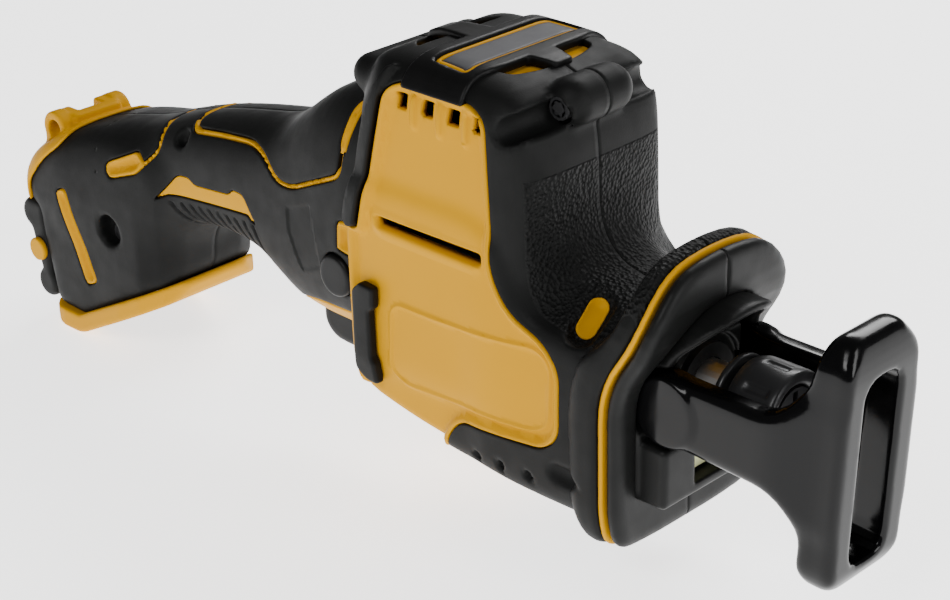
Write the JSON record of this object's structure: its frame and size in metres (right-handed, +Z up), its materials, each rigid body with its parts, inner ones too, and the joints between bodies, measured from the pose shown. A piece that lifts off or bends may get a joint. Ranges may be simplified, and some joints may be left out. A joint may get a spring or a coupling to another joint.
{
  "type": "reciprocating saw",
  "caption": "One-handed cordless reciprocating saw without its battery: upright motor over a crank drive, sprung trigger, twist blade clamp and a tilting shoe on two arms.",
  "frame": {"origin": "on the middle plane, under the middle of the tool, level with the lowest edge of the battery foot", "axes": "+X towards the blade along the stroke, +Y to the left of the tool, +Z up along the motor axis"},
  "size_m": [0.3079, 0.0626, 0.1284],
  "materials": {
    "shell_yellow": "fine satin moulded texture",
    "overmould_black": "soft matte overmould with leather grain on the neck",
    "trim_black": "satin glass-filled plastic",
    "guard_black": "fine matte moulded texture",
    "shoe_black": "semi-gloss black coating",
    "steel": "ground steel",
    "black_steel": "black oxide",
    "aluminium": "die cast",
    "copper": "bare copper",
    "board": "green solder resist",
    "seal_rubber": "plain",
    "lens": "clear moulded lens"
  },
  "bodies": {
    "root": {"right_housing_shell": "shell_yellow", "left_housing_shell": "shell_yellow", "foot_base": "shell_yellow", "rear_cover": "shell_yellow", "bumper_plug_right": "shell_yellow", "bumper_plug_left": "shell_yellow", "guard_stripe": "shell_yellow", "right_overmould": "overmould_black", "left_overmould": "overmould_black", "side_pad_right": "overmould_black", "side_pad_left": "overmould_black", "rear_bumper": "overmould_black", "top_plate": "trim_black", "switch_body": "trim_black", "terminal_block": "trim_black", "nose_block": "trim_black", "guard_backplate": "guard_black", "front_guard": "guard_black", "shoe_pin_right": "steel", "shoe_pin_left": "steel", "motor_stator": "steel", "upper_bearing": "steel", "lower_bearing": "steel", "gear_bearing": "steel", "front_bushing": "steel", "trigger_spring": "steel", "housing_screw_1": "black_steel", "housing_screw_2": "black_steel", "housing_screw_3": "black_steel", "housing_screw_4": "black_steel", "housing_screw_5": "black_steel", "housing_screw_6": "black_steel", "gear_case": "aluminium", "upper_end_winding": "copper", "lower_end_winding": "copper", "terminal_positive": "copper", "terminal_negative": "copper", "control_board": "board", "shaft_seal": "seal_rubber", "upper_bearing_mount": "seal_rubber", "motor_lead_1": "seal_rubber", "motor_lead_2": "seal_rubber", "motor_lead_3": "seal_rubber", "led_lens": "lens"},
    "rotor": {"motor_rotor": "steel", "motor_shaft": "steel", "motor_fan": "trim_black", "motor_pinion": "steel"},
    "crank": {"crank_gear": "steel", "crank_pin": "steel", "gear_axle": "steel"},
    "ram": {"reciprocating_shaft": "steel", "shaft_yoke": "steel", "clamp_disc": "black_steel", "clamp_core": "black_steel", "clamp_spring": "steel"},
    "collar": {"clamp_collar": "black_steel"},
    "shoe": {"shoe": "shoe_black"},
    "trigger": {"trigger": "trim_black"},
    "lock": {"lock_button": "trim_black"}
  },
  "joints": [
    {"name": "crank_spin", "type": "hinge", "parent": "root", "child": "crank", "pos_m": [0.061, 0, 0.065], "axis": [0, 0, 1], "continuous": true},
    {"name": "rotor_spin", "type": "hinge", "parent": "root", "child": "rotor", "pos_m": [0.036, 0, 0.092], "axis": [0, 0, 1], "continuous": true},
    {"name": "blade_stroke", "type": "slide", "parent": "root", "child": "ram", "axis": [1, 0, 0], "range_m": [-0.008, 0.008]},
    {"name": "clamp_twist", "type": "hinge", "parent": "ram", "child": "collar", "pos_m": [0.1225, 0, 0.055], "axis": [1, 0, 0], "range_deg": [0, 45], "stiffness_Nm_per_rad": 0.05, "springref_deg": -11.46},
    {"name": "shoe_tilt", "type": "hinge", "parent": "root", "child": "shoe", "pos_m": [0.105, 0, 0.055], "axis": [0, 1, 0], "range_deg": [-10, 10]},
    {"name": "trigger_pull", "type": "slide", "parent": "root", "child": "trigger", "axis": [0, 0, 1], "range_m": [0, 0.005], "stiffness_N_per_m": 600, "springref_m": -0.003, "deforming": ["trigger_spring"]},
    {"name": "lock_push", "type": "slide", "parent": "root", "child": "lock", "axis": [0, 1, 0], "range_m": [-0.003, 0.003], "stiffness_N_per_m": 400}
  ],
  "couplings": [
    {"joint": "rotor_spin", "follows": "crank_spin", "ratio": -4.5556}
  ]
}
